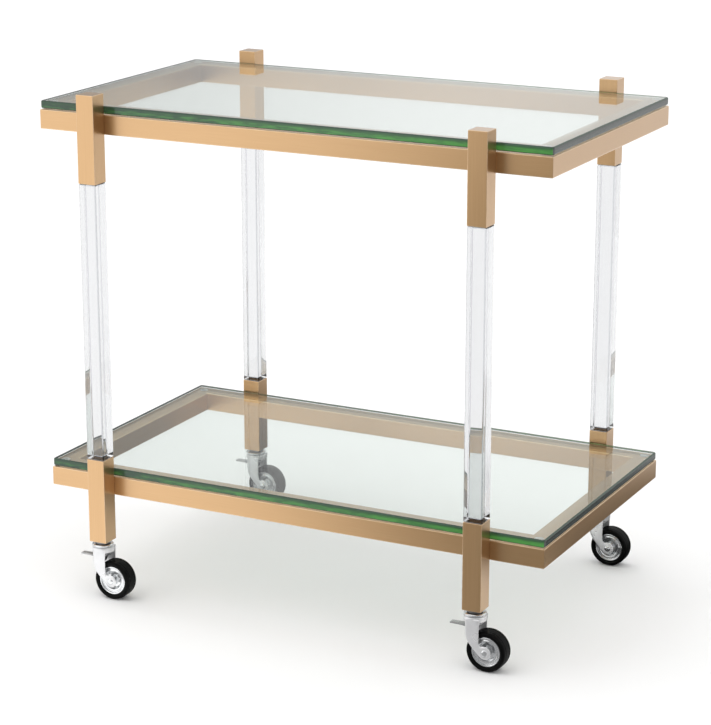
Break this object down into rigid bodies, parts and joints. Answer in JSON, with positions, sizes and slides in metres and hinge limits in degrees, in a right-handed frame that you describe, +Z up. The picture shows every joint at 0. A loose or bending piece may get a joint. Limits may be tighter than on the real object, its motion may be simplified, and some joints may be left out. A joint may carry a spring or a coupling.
{
  "type": "bar cart",
  "caption": "Two-shelf bar cart: brass tube frames, glass shelves, clear acrylic posts between brass blocks, braked swivel casters.",
  "frame": {"origin": "on the floor under the middle of the cart", "axes": "+Z up, +X along the cart towards the end its wheels trail to, -Y the long side with the front posts"},
  "size_m": [0.84, 0.5306, 0.797],
  "materials": {
    "brass": "brushed, clear lacquered",
    "glass": "clear, polished green edge",
    "acrylic": "clear cast acrylic, polished",
    "clear_pad": "clear soft bumper",
    "chrome": "polished",
    "dark_steel": "zinc plated, dull",
    "tyre": "satin black rubber"
  },
  "bodies": {
    "cart_frame": {"lower_rail_front": "brass", "lower_rail_back": "brass", "lower_rail_left": "brass", "lower_rail_right": "brass", "lower_glass": "glass", "lower_pad_front_left": "clear_pad", "lower_pad_front_right": "clear_pad", "lower_pad_back_left": "clear_pad", "lower_pad_back_right": "clear_pad", "top_rail_front": "brass", "top_rail_back": "brass", "top_rail_left": "brass", "top_rail_right": "brass", "top_glass": "glass", "top_pad_front_left": "clear_pad", "top_pad_front_right": "clear_pad", "top_pad_back_left": "clear_pad", "top_pad_back_right": "clear_pad", "front_left_lower_block": "brass", "front_left_acrylic_bar": "acrylic", "front_left_top_block": "brass", "front_left_caster_stem": "dark_steel", "front_left_caster_ring": "chrome", "front_right_lower_block": "brass", "front_right_acrylic_bar": "acrylic", "front_right_top_block": "brass", "front_right_caster_stem": "dark_steel", "front_right_caster_ring": "chrome", "back_left_lower_block": "brass", "back_left_acrylic_bar": "acrylic", "back_left_top_block": "brass", "back_left_caster_stem": "dark_steel", "back_left_caster_ring": "chrome", "back_right_lower_block": "brass", "back_right_acrylic_bar": "acrylic", "back_right_top_block": "brass", "back_right_caster_stem": "dark_steel", "back_right_caster_ring": "chrome"},
    "front_left_swivel_fork": {"front_left_fork": "chrome", "front_left_axle": "dark_steel"},
    "front_left_wheel": {"front_left_hub": "chrome", "front_left_tyre": "tyre"},
    "front_left_brake": {"front_left_brake_lever": "dark_steel"},
    "front_right_swivel_fork": {"front_right_fork": "chrome", "front_right_axle": "dark_steel"},
    "front_right_wheel": {"front_right_hub": "chrome", "front_right_tyre": "tyre"},
    "front_right_brake": {"front_right_brake_lever": "dark_steel"},
    "back_left_swivel_fork": {"back_left_fork": "chrome", "back_left_axle": "dark_steel"},
    "back_left_wheel": {"back_left_hub": "chrome", "back_left_tyre": "tyre"},
    "back_left_brake": {"back_left_brake_lever": "dark_steel"},
    "back_right_swivel_fork": {"back_right_fork": "chrome", "back_right_axle": "dark_steel"},
    "back_right_wheel": {"back_right_hub": "chrome", "back_right_tyre": "tyre"},
    "back_right_brake": {"back_right_brake_lever": "dark_steel"}
  },
  "joints": [
    {"name": "front_left_swivel", "type": "hinge", "parent": "cart_frame", "child": "front_left_swivel_fork", "pos_m": [-0.32, -0.2463, 0.081], "axis": [0, 0, 1], "continuous": true},
    {"name": "front_left_wheel_spin", "type": "hinge", "parent": "front_left_swivel_fork", "child": "front_left_wheel", "pos_m": [-0.298, -0.2463, 0.031], "axis": [0, 1, 0], "continuous": true},
    {"name": "front_left_brake_tread", "type": "hinge", "parent": "front_left_swivel_fork", "child": "front_left_brake", "pos_m": [-0.311, -0.2463, 0.071], "axis": [0, -1, 0], "range_deg": [0, 4.5]},
    {"name": "front_right_swivel", "type": "hinge", "parent": "cart_frame", "child": "front_right_swivel_fork", "pos_m": [0.32, -0.2463, 0.081], "axis": [0, 0, 1], "continuous": true},
    {"name": "front_right_wheel_spin", "type": "hinge", "parent": "front_right_swivel_fork", "child": "front_right_wheel", "pos_m": [0.342, -0.2463, 0.031], "axis": [0, 1, 0], "continuous": true},
    {"name": "front_right_brake_tread", "type": "hinge", "parent": "front_right_swivel_fork", "child": "front_right_brake", "pos_m": [0.329, -0.2463, 0.071], "axis": [0, -1, 0], "range_deg": [0, 4.5]},
    {"name": "back_left_swivel", "type": "hinge", "parent": "cart_frame", "child": "back_left_swivel_fork", "pos_m": [-0.32, 0.2463, 0.081], "axis": [0, 0, 1], "continuous": true},
    {"name": "back_left_wheel_spin", "type": "hinge", "parent": "back_left_swivel_fork", "child": "back_left_wheel", "pos_m": [-0.298, 0.2463, 0.031], "axis": [0, 1, 0], "continuous": true},
    {"name": "back_left_brake_tread", "type": "hinge", "parent": "back_left_swivel_fork", "child": "back_left_brake", "pos_m": [-0.311, 0.2463, 0.071], "axis": [0, -1, 0], "range_deg": [0, 4.5]},
    {"name": "back_right_swivel", "type": "hinge", "parent": "cart_frame", "child": "back_right_swivel_fork", "pos_m": [0.32, 0.2463, 0.081], "axis": [0, 0, 1], "continuous": true},
    {"name": "back_right_wheel_spin", "type": "hinge", "parent": "back_right_swivel_fork", "child": "back_right_wheel", "pos_m": [0.342, 0.2463, 0.031], "axis": [0, 1, 0], "continuous": true},
    {"name": "back_right_brake_tread", "type": "hinge", "parent": "back_right_swivel_fork", "child": "back_right_brake", "pos_m": [0.329, 0.2463, 0.071], "axis": [0, -1, 0], "range_deg": [0, 4.5]}
  ]
}
